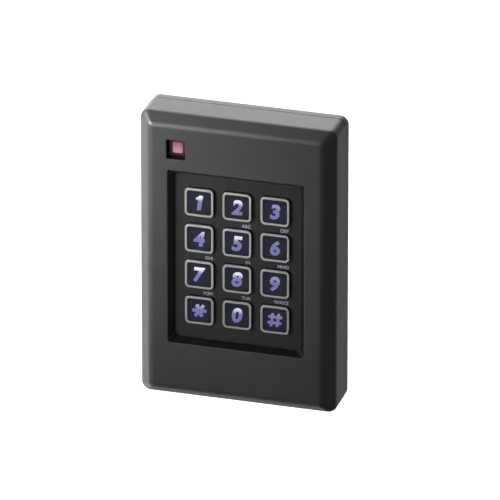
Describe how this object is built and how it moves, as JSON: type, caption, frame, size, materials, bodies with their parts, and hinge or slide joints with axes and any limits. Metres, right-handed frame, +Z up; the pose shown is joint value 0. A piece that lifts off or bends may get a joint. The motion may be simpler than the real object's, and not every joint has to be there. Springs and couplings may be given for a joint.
{
  "type": "keypad access reader",
  "caption": "Wall-mounted keypad access reader: bevelled dark housing with a recessed, backlit telephone keypad, a small status window and a screw-fixed wall plate.",
  "frame": {"origin": "middle of the wall plate's back face, in the plane of the wall", "axes": "+Z up along the housing, +Y into the wall, so the keys face -Y; +X to the right seen from the front"},
  "size_m": [0.099, 0.0254, 0.149],
  "materials": {
    "housing": "fine moulded texture, satin charcoal",
    "back_plastic": "plain moulded charcoal, slightly lighter than the housing",
    "gasket": "matte black foam rubber",
    "panel": "smooth dark panel",
    "key_cap": "smoked translucent cap, lit blue from behind",
    "silicone": "grey silicone",
    "circuit_board": "green solder mask",
    "component": "black moulded package",
    "bare_metal": "drawn metal can",
    "led": "white package",
    "window": "dark smoked red lens",
    "red_light": "clear light pipe, lit red",
    "copper_winding": "enamelled copper wire",
    "terminal": "green terminal plastic",
    "key_marking": "pale outline of each key and its lit legend",
    "screw_steel": "zinc-plated steel",
    "brass": "turned brass"
  },
  "bodies": {
    "reader": {"front_cover": "housing", "wall_plate": "back_plastic", "cover_gasket": "gasket", "rear_cover": "back_plastic", "keypad_bezel": "panel", "key_mat": "silicone", "keypad_board": "circuit_board", "backlight_led_1": "led", "backlight_led_2": "led", "backlight_led_3": "led", "backlight_led_4": "led", "backlight_led_5": "led", "backlight_led_6": "led", "status_window": "window", "status_light_pipe": "red_light", "status_led": "led", "beeper": "component", "filter_capacitor_1": "bare_metal", "filter_capacitor_2": "bare_metal", "board_socket": "component", "board_header": "component", "main_board": "circuit_board", "processor_chip": "component", "reader_chip": "component", "clock_crystal": "bare_metal", "voltage_regulator": "component", "antenna_coil": "copper_winding", "terminal_block": "terminal", "tamper_sensor": "component", "keypad_screw_1": "screw_steel", "keypad_screw_2": "screw_steel", "keypad_screw_3": "screw_steel", "keypad_screw_4": "screw_steel", "main_board_screw_1": "screw_steel", "main_board_screw_2": "screw_steel", "main_board_screw_3": "screw_steel", "main_board_screw_4": "screw_steel", "rear_cover_screw_1": "screw_steel", "rear_cover_screw_2": "screw_steel", "rear_cover_screw_3": "screw_steel", "rear_cover_screw_4": "screw_steel", "lock_screw": "screw_steel", "lock_insert": "brass"},
    "key_1": {"key_1": "key_cap"},
    "key_2": {"key_2": "key_cap"},
    "key_3": {"key_3": "key_cap"},
    "key_4": {"key_4": "key_cap"},
    "key_5": {"key_5": "key_cap"},
    "key_6": {"key_6": "key_cap"},
    "key_7": {"key_7": "key_cap"},
    "key_8": {"key_8": "key_cap"},
    "key_9": {"key_9": "key_cap"},
    "key_star": {"key_star": "key_cap"},
    "key_0": {"key_0": "key_cap"},
    "key_hash": {"key_hash": "key_cap"}
  },
  "joints": [
    {"name": "press_1", "type": "slide", "parent": "reader", "child": "key_1", "axis": [0, 1, 0], "range_m": [0, 0.0008], "stiffness_N_per_m": 800, "springref_m": -0.0006},
    {"name": "press_2", "type": "slide", "parent": "reader", "child": "key_2", "axis": [0, 1, 0], "range_m": [0, 0.0008], "stiffness_N_per_m": 800, "springref_m": -0.0006},
    {"name": "press_3", "type": "slide", "parent": "reader", "child": "key_3", "axis": [0, 1, 0], "range_m": [0, 0.0008], "stiffness_N_per_m": 800, "springref_m": -0.0006},
    {"name": "press_4", "type": "slide", "parent": "reader", "child": "key_4", "axis": [0, 1, 0], "range_m": [0, 0.0008], "stiffness_N_per_m": 800, "springref_m": -0.0006},
    {"name": "press_5", "type": "slide", "parent": "reader", "child": "key_5", "axis": [0, 1, 0], "range_m": [0, 0.0008], "stiffness_N_per_m": 800, "springref_m": -0.0006},
    {"name": "press_6", "type": "slide", "parent": "reader", "child": "key_6", "axis": [0, 1, 0], "range_m": [0, 0.0008], "stiffness_N_per_m": 800, "springref_m": -0.0006},
    {"name": "press_7", "type": "slide", "parent": "reader", "child": "key_7", "axis": [0, 1, 0], "range_m": [0, 0.0008], "stiffness_N_per_m": 800, "springref_m": -0.0006},
    {"name": "press_8", "type": "slide", "parent": "reader", "child": "key_8", "axis": [0, 1, 0], "range_m": [0, 0.0008], "stiffness_N_per_m": 800, "springref_m": -0.0006},
    {"name": "press_9", "type": "slide", "parent": "reader", "child": "key_9", "axis": [0, 1, 0], "range_m": [0, 0.0008], "stiffness_N_per_m": 800, "springref_m": -0.0006},
    {"name": "press_star", "type": "slide", "parent": "reader", "child": "key_star", "axis": [0, 1, 0], "range_m": [0, 0.0008], "stiffness_N_per_m": 800, "springref_m": -0.0006},
    {"name": "press_0", "type": "slide", "parent": "reader", "child": "key_0", "axis": [0, 1, 0], "range_m": [0, 0.0008], "stiffness_N_per_m": 800, "springref_m": -0.0006},
    {"name": "press_hash", "type": "slide", "parent": "reader", "child": "key_hash", "axis": [0, 1, 0], "range_m": [0, 0.0008], "stiffness_N_per_m": 800, "springref_m": -0.0006}
  ]
}
